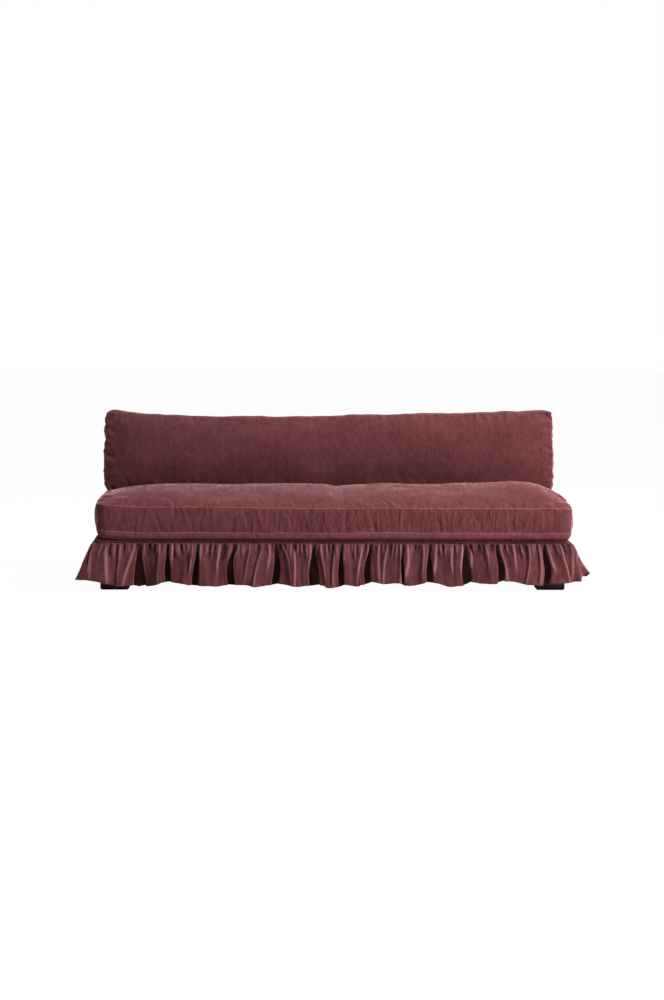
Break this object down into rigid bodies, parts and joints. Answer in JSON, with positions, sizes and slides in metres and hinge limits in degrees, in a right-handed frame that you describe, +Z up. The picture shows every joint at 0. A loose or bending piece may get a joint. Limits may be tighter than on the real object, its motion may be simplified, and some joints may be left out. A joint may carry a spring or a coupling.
{
  "type": "armless three-seater sofa",
  "caption": "Long armless sofa with a bench seat cushion, a loose bench back cushion standing on it and a gathered skirt over block feet.",
  "frame": {"origin": "on the floor, below the middle of the sofa's box", "axes": "+X along the sofa, to the right as the picture shows it, +Y to the rear, +Z up"},
  "size_m": [2.2924, 1.0512, 0.7794],
  "materials": {
    "velvet": "mauve cotton velvet with a pale sheen at grazing angles",
    "dark_wood": "dark stained, satin",
    "frame_wood": "plain sawn hardwood",
    "felt": "pressed felt",
    "webbing": "woven elastic webbing",
    "lining_cloth": "thin non-woven lining",
    "foam": "open-cell foam",
    "feather_fill": "feather in plain ticking",
    "deck_cloth": "plain woven deck cloth",
    "zip_tape": "woven tape with a moulded chain",
    "zip_metal": "plated zinc"
  },
  "bodies": {
    "frame": {"front_rail": "frame_wood", "rear_rail": "frame_wood", "left_end_rail": "frame_wood", "right_end_rail": "frame_wood", "left_stretcher": "frame_wood", "right_stretcher": "frame_wood", "corner_blocks": "frame_wood", "foot_front_left": "dark_wood", "foot_front_right": "dark_wood", "foot_rear_left": "dark_wood", "foot_rear_right": "dark_wood", "foot_centre_left": "dark_wood", "foot_centre_right": "dark_wood", "foot_pads": "felt", "back_post_left": "frame_wood", "back_post_mid_left": "frame_wood", "back_post_mid_right": "frame_wood", "back_post_right": "frame_wood", "back_top_rail": "frame_wood", "back_liner_rails": "frame_wood", "back_webbing": "webbing", "back_pad": "foam", "inside_back_cover": "velvet", "outside_back_cover": "velvet", "back_facing_left": "velvet", "back_facing_right": "velvet", "seat_webbing_long": "webbing", "seat_webbing_cross": "webbing", "deck_insulator": "lining_cloth", "deck_pad": "foam", "deck_cloth": "deck_cloth", "dust_cover": "lining_cloth", "base_border": "velvet", "skirt_band": "velvet", "skirt_front": "velvet", "skirt_rear": "velvet", "skirt_left": "velvet", "skirt_right": "velvet"},
    "seat_cushion": {"seat_top_panel": "velvet", "seat_front_boxing": "velvet", "seat_zip_boxing": "velvet", "seat_bottom_panel": "velvet", "seat_end_boxing_left": "velvet", "seat_end_boxing_right": "velvet", "seat_feather_left": "feather_fill", "seat_feather_right": "feather_fill", "seat_foam_core": "foam", "seat_zip": "zip_tape"},
    "back_cushion": {"back_front_panel": "velvet", "back_rear_panel": "velvet", "back_top_boxing": "velvet", "back_bottom_boxing": "velvet", "back_end_boxing_left": "velvet", "back_end_boxing_right": "velvet", "back_feather_left": "feather_fill", "back_feather_right": "feather_fill", "back_zip": "zip_tape"},
    "seat_zip_slider": {"seat_zip_slider": "zip_metal"},
    "back_zip_slider": {"back_zip_slider": "zip_metal"}
  },
  "joints": [
    {"name": "seat_cushion_lift", "type": "slide", "parent": "frame", "child": "seat_cushion", "axis": [0, 0, 1], "range_m": [0, 0.3]},
    {"name": "back_cushion_lift", "type": "slide", "parent": "seat_cushion", "child": "back_cushion", "axis": [0, 0.1736, 0.9848], "range_m": [0, 0.45]},
    {"name": "seat_zip_travel", "type": "slide", "parent": "seat_cushion", "child": "seat_zip_slider", "axis": [1, 0, 0], "range_m": [0, 1.744]},
    {"name": "back_zip_travel", "type": "slide", "parent": "back_cushion", "child": "back_zip_slider", "axis": [1, 0, 0], "range_m": [0, 1.744]}
  ]
}
